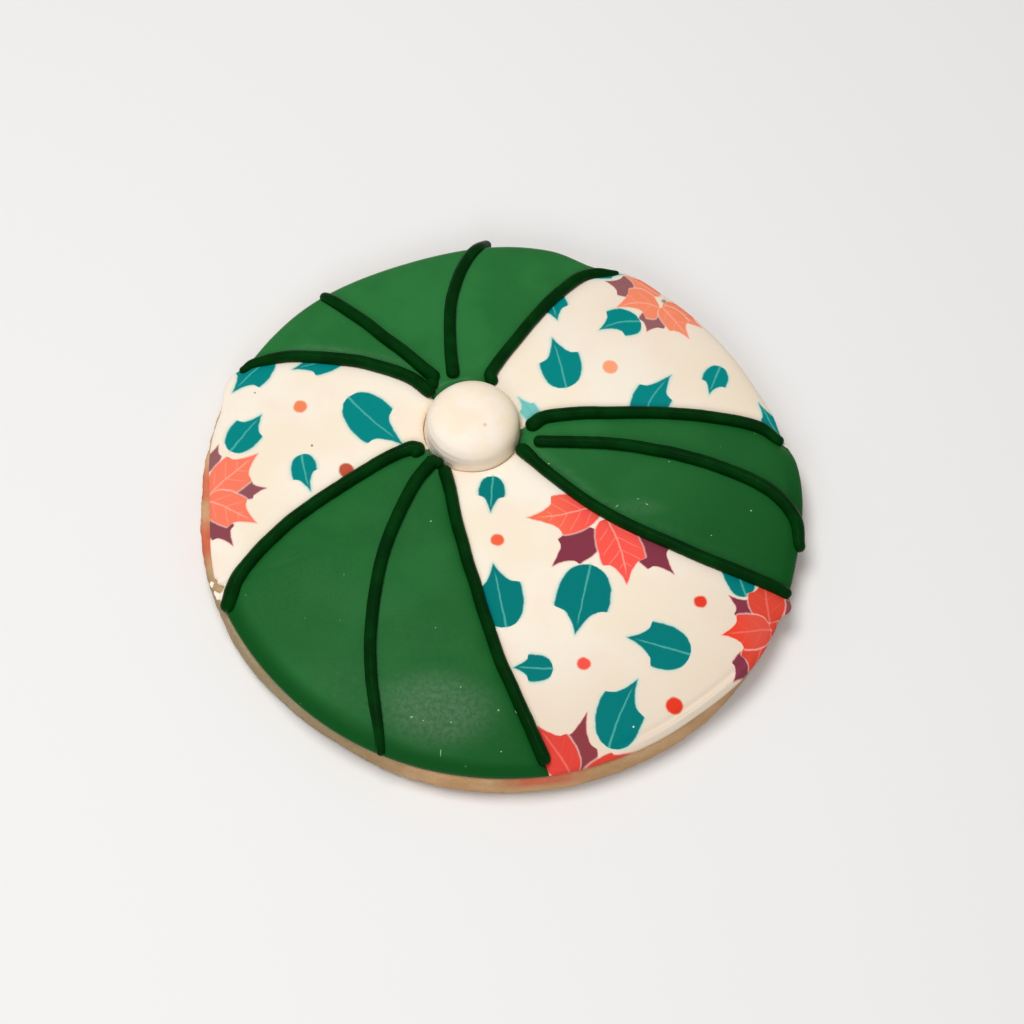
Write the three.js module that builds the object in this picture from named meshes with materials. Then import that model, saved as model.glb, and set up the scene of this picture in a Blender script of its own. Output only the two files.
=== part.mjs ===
// Iced sugar cookie. A round biscuit carries six cushions of run-out icing: three green ones and three cream ones that
// take a printed pattern. Ten piped lines cover the seams between the cushions and rib the green ones, and a piped
// button closes the hub where they all meet.
// Millimetres, +Z up. The origin is the centre of the biscuit's flat underside, +X is right and +Y is the far side.
import * as THREE from "three";

// Driving dimensions
const COOKIE_RADIUS = 42.5;
const COOKIE_THICKNESS = 4.7;
const FOOT_HEIGHT = 1.0; // rounded lower edge
const FOOT_INSET = 0.8;
const CROWN_HEIGHT = 1.0; // rounded upper edge
const CROWN_INSET = 0.7;

const ICING_THICKNESS = 2.0;
const ICING_INSET = 0.4; // icing edge inside the biscuit's edge
const RIM_BULGE = 0.35; // how far the icing's side swells
const RIM_SLOPE = 4.5; // width of the fall towards the rim
const SEAM_SLOPE = 2.6; // width of the fall towards a seam
const HUB_SLOPE = 1.5;
const EDGE_SHARE = 0.45; // of the icing's thickness, left at its edges
const SHOULDER_POWER = 2.2;
const SEAM_GAP = 0.3;

const LINE_RADIUS = 0.9;
const LINE_FLATTENING = 0.4; // height of a line's underside in radii
const LINE_CLEARANCE = 0.06;
const LINE_STEP = 2.4;

const BUTTON_CENTRE = new THREE.Vector3(-4.9, 10.6, 0);
const BUTTON_RADIUS = 6.7;
const BUTTON_FOOT_RADIUS = 6.3;
const BUTTON_WAIST_HEIGHT = 2.3; // above the biscuit, where the button is widest
const BUTTON_TOP_HEIGHT = 5.9;
const BUTTON_POWER = 2.7;
const HUB_RADIUS = 6.95;

// Where the cut edge or the icing leaves the round: bearing and half-width in degrees, depth in mm.
const COOKIE_FLATS = [
  { bearing: 11, halfWidth: 22, depth: -0.7 },
  { bearing: 35, halfWidth: 34, depth: 0.4 },
  { bearing: 114, halfWidth: 28, depth: 0.8 },
  { bearing: 160, halfWidth: 8, depth: -0.6 },
  { bearing: 186, halfWidth: 14, depth: 0.25 },
];
const ICING_FLATS = [
  { bearing: 11, halfWidth: 22, depth: -0.5 },
  { bearing: 76, halfWidth: 9, depth: 0.9 },
  { bearing: 114, halfWidth: 28, depth: 0.2 },
  { bearing: 160, halfWidth: 8, depth: -0.6 },
  { bearing: 190, halfWidth: 22, depth: 0.95 },
  { bearing: 343, halfWidth: 3, depth: -1 },
  { bearing: 345, halfWidth: 24, depth: -0.45 },
];

// Piped lines from the hub outwards, as few points as their bends need. A line with a rimBearing also covers a seam,
// which meets the rim at that bearing.
const LINES = [
  { points: [[2.4, 7.7], [7.1, 3.9], [15.2, -1.3], [27.2, -6.1], [40.4, -10.3]], rimBearing: -14.5 },
  { points: [[4.8, 9.1], [17, 9.8], [28.1, 8.4], [37.3, 5.2], [41.6, 1.1], [42.5, -2.9]] },
  { points: [[3.5, 11.8], [5.8, 13.5], [13.1, 14.9], [25, 16], [35, 15.4], [38.8, 13.6]], rimBearing: 17.5 },
  { points: [[-2.8, 18.6], [-2.9, 20.1], [0.3, 26.1], [4.7, 33.2], [9.1, 37.9], [13.4, 39.1]], rimBearing: 75 },
  { points: [[-8.5, 19], [-9.5, 25], [-9.8, 32], [-8.3, 38.5], [-5.7, 42.6]] },
  { points: [[-11.2, 18.1], [-15.5, 21.4], [-22.3, 26.3], [-27.9, 29.8]] },
  { points: [[-11.6, 15.7], [-15.1, 17.9], [-22, 19.5], [-31, 19.5], [-36.9, 18.1], [-38.3, 17]], rimBearing: 156 },
  { points: [[-12.1, 6.1], [-13.8, 5.9], [-18.4, 2.6], [-28.3, -6.7], [-34.4, -15.3], [-35.9, -20.8]], rimBearing: 209 },
  { points: [[-10, 4.3], [-12.7, -1], [-15.5, -12], [-15.6, -26], [-13.1, -40.6]] },
  { points: [[-8.1, 3], [-7, -0.2], [-5, -6.9], [1.2, -23.2], [5.3, -31.5], [9.3, -39.2]], rimBearing: 284 },
];

// Cushions between two seam lines, named by those lines' places in the list above, counter-clockwise.
const CUSHIONS = [
  { name: "green_icing_right", from: 0, to: 2, printed: false },
  { name: "printed_icing_upper_right", from: 2, to: 3, printed: true },
  { name: "green_icing_top", from: 3, to: 6, printed: false },
  { name: "printed_icing_left", from: 6, to: 7, printed: true },
  { name: "green_icing_lower_left", from: 7, to: 9, printed: false },
  { name: "printed_icing_lower_right", from: 9, to: 0, printed: true },
];

const COOKIE_SEGMENTS = 72;
const BUTTON_SEGMENTS = 24;
const CUSHION_SEGMENTS = { outward: 14, around: 12, upright: 2 };

const { clamp, degToRad, lerp, radToDeg } = THREE.MathUtils;

const biscuitMaterial = new THREE.MeshStandardMaterial({ color: 0xb08a62, roughness: 0.9, metalness: 0 });
const greenMaterial = new THREE.MeshStandardMaterial({ color: 0x27703a, roughness: 0.5, metalness: 0 });
const creamMaterial = new THREE.MeshStandardMaterial({ color: 0xf3e6cf, roughness: 0.6, metalness: 0 });
const lineMaterial = new THREE.MeshStandardMaterial({ color: 0x053a10, roughness: 0.4, metalness: 0 });
const buttonMaterial = new THREE.MeshStandardMaterial({ color: 0xfdeedd, roughness: 0.5, metalness: 0 });

// The depth that a list of flats takes off at a bearing in degrees.
function flatDepth(flats, bearing) {
  return flats.reduce((sum, flat) => {
    const away = Math.abs(THREE.MathUtils.euclideanModulo(bearing - flat.bearing + 180, 360) - 180);
    const share = clamp(away / flat.halfWidth, 0, 1);
    return sum + flat.depth * Math.cos((share * Math.PI) / 2) ** 2;
  }, 0);
}

const cookieRadius = (bearing) => COOKIE_RADIUS - flatDepth(COOKIE_FLATS, bearing);
const icingRadius = (bearing) => cookieRadius(bearing) - ICING_INSET - flatDepth(ICING_FLATS, bearing);
const bearingOf = (point) => radToDeg(Math.atan2(point.y, point.x));

function polar(radius, bearing, centre = new THREE.Vector3()) {
  const angle = degToRad(bearing);
  return new THREE.Vector3(centre.x + radius * Math.cos(angle), centre.y + radius * Math.sin(angle), 0);
}

function smoothPath(points) {
  return new THREE.CatmullRomCurve3(points, false, "catmullrom", 0.5);
}

// The seam under a border line: it starts at the hub and runs on to the rim.
function seamPath(line) {
  const points = line.points.map(([x, y]) => new THREE.Vector3(x, y, 0));
  const hubBearing = bearingOf(points[0].clone().sub(BUTTON_CENTRE));
  points[0] = polar(HUB_RADIUS, hubBearing, BUTTON_CENTRE);
  points[points.length - 1] = polar(icingRadius(line.rimBearing), line.rimBearing);
  return smoothPath(points);
}

const seams = LINES.map((line) => (line.rimBearing === undefined ? null : seamPath(line)));
const SEAM_SAMPLES = 60;
const seamSamples = seams.filter(Boolean).map((seam) => seam.getSpacedPoints(SEAM_SAMPLES));

function seamDistance(point) {
  const nearest = new THREE.Vector3();
  const stretch = new THREE.Line3();
  let least = Infinity;
  for (const samples of seamSamples) {
    for (let i = 0; i < SEAM_SAMPLES; i++) {
      stretch.set(samples[i], samples[i + 1]).closestPointToPoint(point, true, nearest);
      least = Math.min(least, nearest.distanceTo(point));
    }
  }
  return least;
}

// Share of the full thickness at a distance from an edge: a rounded shoulder that levels off at the slope's width.
function shoulder(distance, slope) {
  const inward = 1 - clamp(distance / slope, 0, 1);
  const rise = (1 - inward ** SHOULDER_POWER) ** (1 / SHOULDER_POWER);
  return EDGE_SHARE + (1 - EDGE_SHARE) * rise;
}

// Height of the icing's upper surface over a point of the biscuit.
function icingTop(point) {
  const flat = new THREE.Vector3(point.x, point.y, 0);
  const toRim = icingRadius(bearingOf(flat)) - flat.length();
  const toHub = flat.distanceTo(BUTTON_CENTRE) - HUB_RADIUS;
  const toSeam = seamDistance(flat) - SEAM_GAP / 2;
  const share = shoulder(toRim, RIM_SLOPE) * shoulder(toSeam, SEAM_SLOPE) * shoulder(toHub, HUB_SLOPE);
  return COOKIE_THICKNESS + ICING_THICKNESS * Math.max(share, EDGE_SHARE);
}

// Moves every vertex of a geometry by a function of its place.
function reshape(geometry, move) {
  const position = geometry.attributes.position;
  const vertex = new THREE.Vector3();
  for (let i = 0; i < position.count; i++) {
    vertex.fromBufferAttribute(position, i);
    const moved = move(vertex);
    position.setXYZ(i, moved.x, moved.y, moved.z);
  }
  geometry.computeVertexNormals();
  return geometry;
}

function meshOf(name, geometry, material) {
  const mesh = new THREE.Mesh(geometry, material);
  mesh.name = name;
  return mesh;
}

// The biscuit: a turned disc with rounded edges whose radius follows the cut outline.
function biscuit() {
  const body = COOKIE_RADIUS;
  const top = COOKIE_THICKNESS;
  const profile = [new THREE.Vector2(0, 0)];
  const quarter = [0, 30, 60, 90].map(degToRad);
  for (const angle of quarter) {
    const x = body - FOOT_INSET * (1 - Math.sin(angle));
    profile.push(new THREE.Vector2(x, FOOT_HEIGHT * (1 - Math.cos(angle))));
  }
  for (const angle of quarter) {
    const x = body - CROWN_INSET * (1 - Math.cos(angle));
    profile.push(new THREE.Vector2(x, top - CROWN_HEIGHT * (1 - Math.sin(angle))));
  }
  profile.push(new THREE.Vector2(0, top));
  const disc = new THREE.LatheGeometry(profile, COOKIE_SEGMENTS).rotateX(Math.PI / 2);
  reshape(disc, (vertex) => {
    const ratio = cookieRadius(bearingOf(vertex)) / COOKIE_RADIUS;
    return vertex.set(vertex.x * ratio, vertex.y * ratio, vertex.z);
  });
  return meshOf("biscuit_base", disc, biscuitMaterial);
}

// Closer rows near both ends of a 0 to 1 range, where a cushion's shoulders bend.
const crowdEnds = (share) => lerp(share, (1 - Math.cos(share * Math.PI)) / 2, 0.75);

function seamPoint(seam, along, sideways) {
  const tangent = seam.getTangentAt(along);
  const across = new THREE.Vector3(-tangent.y, tangent.x, 0).multiplyScalar(sideways);
  return seam.getPointAt(along).add(across);
}

// One cushion of icing: a block whose plan is blended between its two seams, the hub and the rim.
function cushion({ name, from, to, printed }) {
  const start = (along) => seamPoint(seams[from], along, SEAM_GAP / 2);
  const end = (along) => seamPoint(seams[to], along, -SEAM_GAP / 2);
  const arc = (radiusAt, centre, first, last) => {
    const low = bearingOf(first.clone().sub(centre));
    const turn = THREE.MathUtils.euclideanModulo(bearingOf(last.clone().sub(centre)) - low, 360);
    return (around) => polar(radiusAt(low + turn * around), low + turn * around, centre);
  };
  const hub = arc(() => HUB_RADIUS, BUTTON_CENTRE, start(0), end(0));
  const rim = arc(icingRadius, new THREE.Vector3(), start(1), end(1));

  const plan = (along, around) => {
    const sides = start(along).lerp(end(along), around);
    const ends = hub(around).lerp(rim(around), along);
    const corners = hub(0).lerp(hub(1), around).lerp(rim(0).lerp(rim(1), around), along);
    return sides.add(ends).sub(corners);
  };
  const { outward, around, upright } = CUSHION_SEGMENTS;
  const block = new THREE.BoxGeometry(1, 1, 1, outward, around, upright);
  reshape(block, (vertex) => {
    const along = crowdEnds(vertex.x + 0.5);
    const point = plan(along, crowdEnds(vertex.y + 0.5));
    const height = lerp(COOKIE_THICKNESS, icingTop(point), vertex.z + 0.5);
    if (vertex.x === 0.5) point.setLength(point.length() - RIM_BULGE * (2 * vertex.z) ** 2);
    return point.setZ(height);
  });
  return meshOf(name, block, printed ? creamMaterial : greenMaterial);
}

// Height of a line's centre where its flattened underside clears the icing below, half a row each way.
function lineHeight(point, tangent, across) {
  const needed = [-0.5, 0, 0.5].flatMap((ahead) =>
    [-1, -0.75, -0.5, -0.25, 0, 0.25, 0.5, 0.75, 1].map((step) => {
      const under = point.clone().addScaledVector(tangent, ahead * LINE_STEP);
      under.addScaledVector(across, step * LINE_RADIUS);
      return icingTop(under) + LINE_FLATTENING * LINE_RADIUS * Math.sqrt(1 - step * step);
    }),
  );
  return Math.max(...needed) + LINE_CLEARANCE;
}

// One piped line: a round-ended cord bent along its path, flattened where it lies on the icing.
function pipedLine(line, index) {
  const path = smoothPath(line.points.map(([x, y]) => new THREE.Vector3(x, y, 0)));
  const length = path.getLength();
  const rows = Math.round(length / LINE_STEP);
  const cord = new THREE.CapsuleGeometry(LINE_RADIUS, length, 2, 8, rows);
  const heights = new Map();
  reshape(cord, (vertex) => {
    const along = clamp(vertex.y / length + 0.5, 0, 1);
    const past = vertex.y - (along - 0.5) * length;
    const tangent = path.getTangentAt(along);
    const across = new THREE.Vector3(tangent.y, -tangent.x, 0);
    const point = path.getPointAt(along);
    const row = Math.round(along * rows);
    if (!heights.has(row)) heights.set(row, lineHeight(point, tangent, across));
    const lift = vertex.z < 0 ? vertex.z * LINE_FLATTENING : vertex.z;
    point.addScaledVector(across, vertex.x).addScaledVector(tangent, past);
    return point.setZ(heights.get(row) + lift);
  });
  return meshOf(`piped_line_${index + 1}`, cord, lineMaterial);
}

// The button: a low dome with a flattened top and a foot that tucks in.
function button() {
  const rise = BUTTON_TOP_HEIGHT - BUTTON_WAIST_HEIGHT;
  const profile = [new THREE.Vector2(0, 0), new THREE.Vector2(BUTTON_FOOT_RADIUS, 0)];
  for (const angle of [0, 15, 30, 45, 60, 75, 90].map(degToRad)) {
    const x = BUTTON_RADIUS * Math.max(Math.cos(angle), 0) ** (2 / BUTTON_POWER);
    const z = BUTTON_WAIST_HEIGHT + rise * Math.sin(angle) ** (2 / BUTTON_POWER);
    profile.push(new THREE.Vector2(angle === Math.PI / 2 ? 0 : x, z));
  }
  const dome = new THREE.LatheGeometry(profile, BUTTON_SEGMENTS).rotateX(Math.PI / 2);
  const mesh = meshOf("icing_button", dome, buttonMaterial);
  mesh.position.set(BUTTON_CENTRE.x, BUTTON_CENTRE.y, COOKIE_THICKNESS);
  return mesh;
}

const cookie = new THREE.Group();
cookie.add(biscuit(), ...CUSHIONS.map(cushion), ...LINES.map(pipedLine), button());

export default cookie;
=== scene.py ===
"""Iced sugar cookie: the finished looks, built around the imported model.

A round biscuit carries six cushions of run-out icing, three green and three cream with a printed pattern. Ten
piped lines cover the seams and rib the green cushions, and a piped button closes the hub where they meet.
Shapes are worked out in millimetres and turned into metres where a mesh is made. +X is right, +Y is far.
"""

import math
from collections import namedtuple

import bmesh
import bpy
import numpy as np
from mathutils import Color, Matrix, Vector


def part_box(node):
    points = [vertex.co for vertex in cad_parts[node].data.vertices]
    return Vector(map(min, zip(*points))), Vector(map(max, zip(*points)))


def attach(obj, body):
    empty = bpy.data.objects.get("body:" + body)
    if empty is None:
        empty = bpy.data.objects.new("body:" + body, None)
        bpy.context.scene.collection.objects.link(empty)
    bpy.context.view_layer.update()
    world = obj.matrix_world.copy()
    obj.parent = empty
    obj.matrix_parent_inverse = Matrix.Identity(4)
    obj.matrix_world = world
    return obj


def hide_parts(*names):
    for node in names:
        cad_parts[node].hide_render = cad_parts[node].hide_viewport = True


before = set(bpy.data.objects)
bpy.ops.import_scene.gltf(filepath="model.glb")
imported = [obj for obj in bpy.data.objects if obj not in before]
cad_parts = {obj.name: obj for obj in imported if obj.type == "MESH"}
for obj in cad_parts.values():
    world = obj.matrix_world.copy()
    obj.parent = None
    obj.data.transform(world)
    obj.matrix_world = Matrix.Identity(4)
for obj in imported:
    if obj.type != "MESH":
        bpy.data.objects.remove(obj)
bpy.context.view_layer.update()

bl_info = {
    "name": "Iced Sugar Cookie",
    "version": (1, 0, 0),
    "blender": (4, 5, 0),
    "location": "3D View > Sidebar > Cookie",
    "description": "Builds an iced sugar cookie with printed and green icing, piped lines and a piped button",
    "category": "Add Mesh",
}

MM = 0.001
BODY = "root"

# Sizes that the frame already fixes, in millimetres
BISCUIT_LOW, BISCUIT_HIGH = (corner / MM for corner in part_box("biscuit_base"))
BUTTON_LOW, BUTTON_HIGH = (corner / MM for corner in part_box("icing_button"))
COOKIE_RADIUS = -BISCUIT_LOW.x
COOKIE_THICKNESS = BISCUIT_HIGH.z
ICING_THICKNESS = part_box("green_icing_lower_left")[1].z / MM - COOKIE_THICKNESS
BUTTON_CENTRE = np.array([(BUTTON_LOW.x + BUTTON_HIGH.x) / 2, (BUTTON_LOW.y + BUTTON_HIGH.y) / 2])
BUTTON_RADIUS = (BUTTON_HIGH.x - BUTTON_LOW.x) / 2
BUTTON_HEIGHT = BUTTON_HIGH.z - COOKIE_THICKNESS

# Where the cut edge or the icing leaves the round: bearing and half-width in degrees, depth in millimetres
COOKIE_FLATS = (
    (11, 22, -0.7), (20, 6, 0.55), (35, 34, 0.4), (76, 9, 0.8), (98, 45, -0.4), (114, 28, 0.8),
    (160, 8, -0.6), (186, 14, 0.25), (240, 28, 0.45), (278, 62, -0.35), (318, 26, -0.2),
)
ICING_FLATS = (
    (11, 22, -0.5), (66, 7, -0.3), (90, 70, -0.2), (114, 28, 0.2), (160, 8, -0.6), (190, 22, 0.95),
    (242, 28, -0.6), (329, 17, -0.75), (343, 3, -1), (345, 24, -0.7),
)
CHIPS = ((205.6, 1.5, 1.1), (203.9, 0.9, 0.35))
ICING_INSET = 0.4
HUB_RADIUS = BUTTON_RADIUS + 0.25

# How the icing falls towards its edges
RIM_SLOPE = 5.0
SEAM_SLOPE = 3.1
HUB_SLOPE = 1.5
EDGE_SHARE = 0.45
SHOULDER_POWER = 2.2
CROWN_WIDTH = 15.0
CROWN_FALL = 0.5
CROWN_FAR_SHARE = 0.2
CROWN_FAR_AT = 30
RIM_BULGE = 0.35
OUTER_FALL = 1.2
ROOT_DEPTH = 0.05
UNDULATION_LENGTH = 13

# The bead along the lower right rim and the dip inside it: bearing, reach each way in degrees, and sections
BEAD_BEARING = 314
BEAD_REACH = 17
BEAD_HEIGHT = 0.3
BEAD_AT, BEAD_WIDTH = 0.65, 0.3
DIP_AT, DIP_WIDTH = 1.45, 0.42

# Piped lines: how far apart their sections lie, how far they wander and swell, the share of the radius that
# their middle stands above the icing, how much lower than wide they are, how many sections on either side
# level a section's height, and how many sides a section has
LINE_STEP = 0.16
LINE_WANDER = 0.05
LINE_RIPPLE = 0.012
LINE_RISE = 0.42
LINE_FLATNESS = 0.94
LINE_SETTLING = 7
LINE_SIDES = 26

# How finely the pieces are divided
CUSHION_ROWS = 150
CUSHION_RINGS = 6
BISCUIT_STEPS = 900
BUTTON_STEPS = 180

# The lines from the hub outwards: the route, the bearing where a seam under it meets the rim, the widths as
# (share of the length, share of the usual width), and blobs where the tip paused: their place and radius.
Line = namedtuple("Line", "route rim widths blobs", defaults=[()])
LINES = (
    Line(
        ((2.4, 7.7), (7.1, 3.9), (15.2, -1.3), (27.2, -6.1), (40.8, -10.6)), -14.5,
        ((0, 1.05), (0.04, 1.15), (0.08, 0.95), (0.2, 0.92), (0.5, 0.98), (0.9, 1), (1, 0.95)),
    ),
    Line(
        ((4.8, 9.1), (17, 9.8), (28.1, 8.4), (37.3, 5.2), (41.6, 1.1), (42.5, -2.9)), None,
        ((0, 0.95), (0.3, 1), (0.6, 1.02), (0.9, 1.08), (1, 1)),
    ),
    Line(
        ((3.5, 11.8), (5.8, 13.5), (13.1, 14.9), (25, 16), (35, 15.4), (38.8, 13.6)), 17.5,
        ((0, 1.25), (0.08, 1.1), (0.5, 0.98), (0.9, 0.98), (1, 0.8)),
    ),
    Line(
        ((-2.8, 18.6), (-2.9, 20.1), (0.3, 26.1), (4.7, 33.2), (9.1, 37.9), (13.4, 39.1)), 75,
        ((0, 1.05), (0.2, 0.95), (0.75, 0.98), (0.88, 0.95), (1, 0.45)),
    ),
    Line(
        ((-8.5, 19), (-9.5, 25), (-9.8, 32), (-8.3, 38.5), (-5.8, 42.9)), None,
        ((0, 1.15), (0.08, 1.05), (0.3, 0.98), (0.9, 0.92), (1, 0.85)),
    ),
    Line(
        ((-11.2, 18.1), (-15.5, 21.4), (-22.3, 26.3), (-28.1, 30.0)), None,
        ((0, 1.1), (0.2, 1.03), (0.9, 0.98), (1, 0.8)),
        ((-11.3, 17, 0.95),),
    ),
    Line(
        ((-11.6, 15.7), (-15.1, 17.9), (-22, 19.5), (-31, 19.5), (-36.9, 18.1), (-38.3, 17)), 156,
        ((0, 1.08), (0.5, 1.03), (0.85, 0.93), (1, 0.62)),
    ),
    Line(
        ((-12.1, 6.1), (-13.8, 5.9), (-18.4, 2.6), (-28.3, -6.7), (-34.4, -15.3), (-35.9, -20.8)), 209,
        ((0, 1.3), (0.04, 1.2), (0.1, 1.05), (0.8, 1.02), (0.93, 1.2), (1, 1.1)),
        ((-12.5, 5.6, 0.86),),
    ),
    Line(
        ((-10, 4.3), (-12.7, -1), (-15.5, -12), (-15.6, -26), (-12.7, -39.8)), None,
        ((0, 1.1), (0.1, 1.05), (0.5, 0.98), (0.85, 0.93), (1, 0.66)),
        ((-9.2, 4.1, 0.85),),
    ),
    Line(
        ((-8.1, 3), (-7, -0.2), (-5, -6.9), (1.2, -23.2), (5.3, -31.5), (9.3, -39.2)), 284,
        ((0, 1.1), (0.1, 1.02), (0.5, 0.95), (0.9, 1), (0.97, 1.05), (1, 1)),
    ),
)

# Cushions between two seam lines, named by those lines' places in the list above, counter-clockwise
CUSHIONS = (
    ("green_icing_right", 0, 2),
    ("printed_icing_upper_right", 2, 3),
    ("green_icing_top", 3, 6),
    ("printed_icing_left", 6, 7),
    ("green_icing_lower_left", 7, 9),
    ("printed_icing_lower_right", 9, 0),
)


def srgb(red, green, blue):
    """A colour as 0 to 1 display values, from 0 to 255."""
    return (red / 255, green / 255, blue / 255)


# ---------------- settings


def number(name, description, default, **settings):
    """A number property."""
    return bpy.props.FloatProperty(name=name, description=description, default=default, **settings)


def length(name, description, millimetres):
    """A length property with its default given in millimetres."""
    return number(name, description, millimetres * MM, min=0, precision=5, unit="LENGTH")


def colour(name, description, red, green, blue):
    """A colour property with its default given as 0 to 255."""
    default = srgb(red, green, blue)
    return bpy.props.FloatVectorProperty(
        name=name, description=description, default=default, min=0, max=1, subtype="COLOR_GAMMA"
    )


class CookieSizes(bpy.types.PropertyGroup):
    """Sizes that a user would change."""

    line_radius: length("Line radius", "Half the width of a piped line", 0.9)
    seam_gap: length("Seam gap", "Gap between two cushions, under a piped line", 0.08)
    undulation: length("Undulation", "How far the dried icing rises and falls", 0.05)
    crumb_depth: length("Crumb depth", "Roughness of the biscuit's side", 0.07)


class CookieColours(bpy.types.PropertyGroup):
    """Colours that a user would change."""

    green: colour("Green", "Green run-out icing", 35, 111, 51)
    # Painted shade: the green where it darkens towards the right, the front and the front rim
    shaded_green: colour("Shaded green", "Green run-out icing towards the right and the front rim", 5, 76, 23)
    piping: colour("Piping", "Dark green piped lines", 0, 41, 5)
    cream: colour("Cream", "Ground of the printed icing", 253, 243, 227)
    button: colour("Button", "Piped button", 255, 242, 226)
    biscuit: colour("Biscuit", "Side of the baked biscuit", 214, 175, 133)
    underside: colour("Underside", "Browned underside of the biscuit", 166, 118, 74)
    teal: colour("Teal", "Printed leaves", 0, 134, 132)
    floor: colour("Floor", "Floor under the cookie", 240, 240, 240)


class CookieStage(bpy.types.PropertyGroup):
    """Light and camera."""

    sky: number("Sky", "Strength of the even light all round", 0.3)
    key_power: number("Key power", "Power of the large lamp overhead, in watts", 2.1, unit="POWER")
    lamp_size: length("Lamp size", "Width of the two large lamps", 300)
    fill_power: number("Fill power", "Power of the large lamp in front, in watts", 0.9, unit="POWER")
    gloss_power: number("Gloss power", "Power of the gloss lamp, in watts", 0.18, unit="POWER")
    gloss_size: length("Gloss size", "Width of the lamp that shines on gloss alone", 100)
    distance: length("Distance", "From the camera to the cookie", 400)
    elevation: number("Elevation", "Camera's height angle", math.radians(61.93), subtype="ANGLE")
    roll: number("Roll", "Camera's turn about its own axis", math.radians(5.45), subtype="ANGLE")
    lens: number("Lens", "Focal length in millimetres", 99.81, unit="CAMERA")


# ---------------- plan and heights, in millimetres


def polar(radius, bearing):
    """The point at a radius and a bearing in degrees."""
    angle = np.radians(bearing)
    return np.stack([radius * np.cos(angle), radius * np.sin(angle)], -1)


def bearing_of(points):
    """The bearing of each point in degrees."""
    return np.degrees(np.arctan2(points[..., 1], points[..., 0]))


def near_bearing(bearing, middle, half_width):
    """1 at the middle bearing, falling to 0 this many degrees either side of it."""
    away = np.abs(np.mod(bearing - middle + 180, 360) - 180)
    return np.cos(np.clip(away / half_width, 0, 1) * math.pi / 2)


def flat_depth(flats, bearing):
    """What a list of flats takes off the radius at each bearing."""
    return sum(depth * near_bearing(bearing, middle, half_width) ** 2 for middle, half_width, depth in flats)


def cookie_radius(bearing):
    return COOKIE_RADIUS - flat_depth(COOKIE_FLATS, bearing)


def icing_radius(bearing):
    return cookie_radius(bearing) - ICING_INSET - flat_depth(ICING_FLATS + CHIPS, bearing)


def read_curve(curve, marks, wanted):
    """The places on a curve at the wanted marks."""
    return np.stack([np.interp(wanted, marks, axis) for axis in curve.T], 1)


def smooth_path(points, step):
    """A smooth curve through the points, as places that lie the same length apart."""
    given = np.array(points, float)
    posts = np.vstack([2 * given[0] - given[1], given, 2 * given[-1] - given[-2]])
    t = np.linspace(0, 1, 60, endpoint=False)[:, None]
    pieces = [
        0.5 * (2 * b + (c - a) * t + (2 * a - 5 * b + 4 * c - d) * t**2 + (3 * b - a - 3 * c + d) * t**3)
        for a, b, c, d in zip(posts, posts[1:], posts[2:], posts[3:])
    ]
    return evenly(np.vstack([*pieces, given[-1:]]), step)


def evenly(curve, step):
    """The same curve, as places that lie about one step apart."""
    lengths = np.concatenate([[0], np.cumsum(np.linalg.norm(np.diff(curve, axis=0), axis=1))])
    count = max(2, round(lengths[-1] / step))
    wanted = np.linspace(0, lengths[-1], count + 1)
    return read_curve(curve, lengths, wanted)


def sideways(curve):
    """The unit vector to the left of each place on a plan curve."""
    tangent = np.gradient(curve, axis=0)[:, :2]
    tangent /= np.linalg.norm(tangent, axis=1)[:, None]
    return np.stack([-tangent[:, 1], tangent[:, 0]], 1)


def seam_path(line):
    """The seam under a border line, from the hub to the rim."""
    points = [np.array(point, float) for point in line.route]
    out = points[0] - BUTTON_CENTRE
    points[0] = BUTTON_CENTRE + HUB_RADIUS * out / np.linalg.norm(out)
    points[-1] = polar(icing_radius(line.rim), line.rim)
    return smooth_path(points, 0.7)


SEAMS = {index: seam_path(line) for index, line in enumerate(LINES) if line.rim is not None}


def seam_distance(points):
    """The distance from each point to the nearest seam."""
    least = np.full(len(points), np.inf)
    for seam in SEAMS.values():
        for start, stretch in zip(seam, np.diff(seam, axis=0)):
            away = points - start
            share = np.clip(away @ stretch / (stretch @ stretch), 0, 1)
            least = np.minimum(least, np.linalg.norm(away - share[:, None] * stretch, axis=1))
    return least


def shoulder(distance, slope):
    """Share of the full thickness at a distance from an edge: a rounded shoulder that levels off."""
    inward = 1 - np.clip(distance / slope, 0, 1)
    return EDGE_SHARE + (1 - EDGE_SHARE) * (1 - inward**SHOULDER_POWER) ** (1 / SHOULDER_POWER)


def waves(points, wavelength, seed, count=7):
    """Smooth random relief from about -1 to 1, the same on each run."""
    random = np.random.default_rng(seed)
    total = np.zeros(len(points))
    for _ in range(count):
        direction = random.normal(size=points.shape[1])
        direction *= 2 * math.pi / (wavelength * random.uniform(0.7, 1.5) * np.linalg.norm(direction))
        total += np.cos(points @ direction + random.uniform(0, 2 * math.pi))
    return total / math.sqrt(count / 2) / 1.6


def rim_bead(to_rim, bearing):
    """The raised bead along the lower right rim and the dip inside it."""
    height = BEAD_HEIGHT * near_bearing(bearing, BEAD_BEARING, BEAD_REACH) ** 0.7
    bead = np.exp(-(((to_rim - BEAD_AT) / BEAD_WIDTH) ** 2))
    dip = np.exp(-(((to_rim - DIP_AT) / DIP_WIDTH) ** 2))
    return height * (bead - dip)


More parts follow.
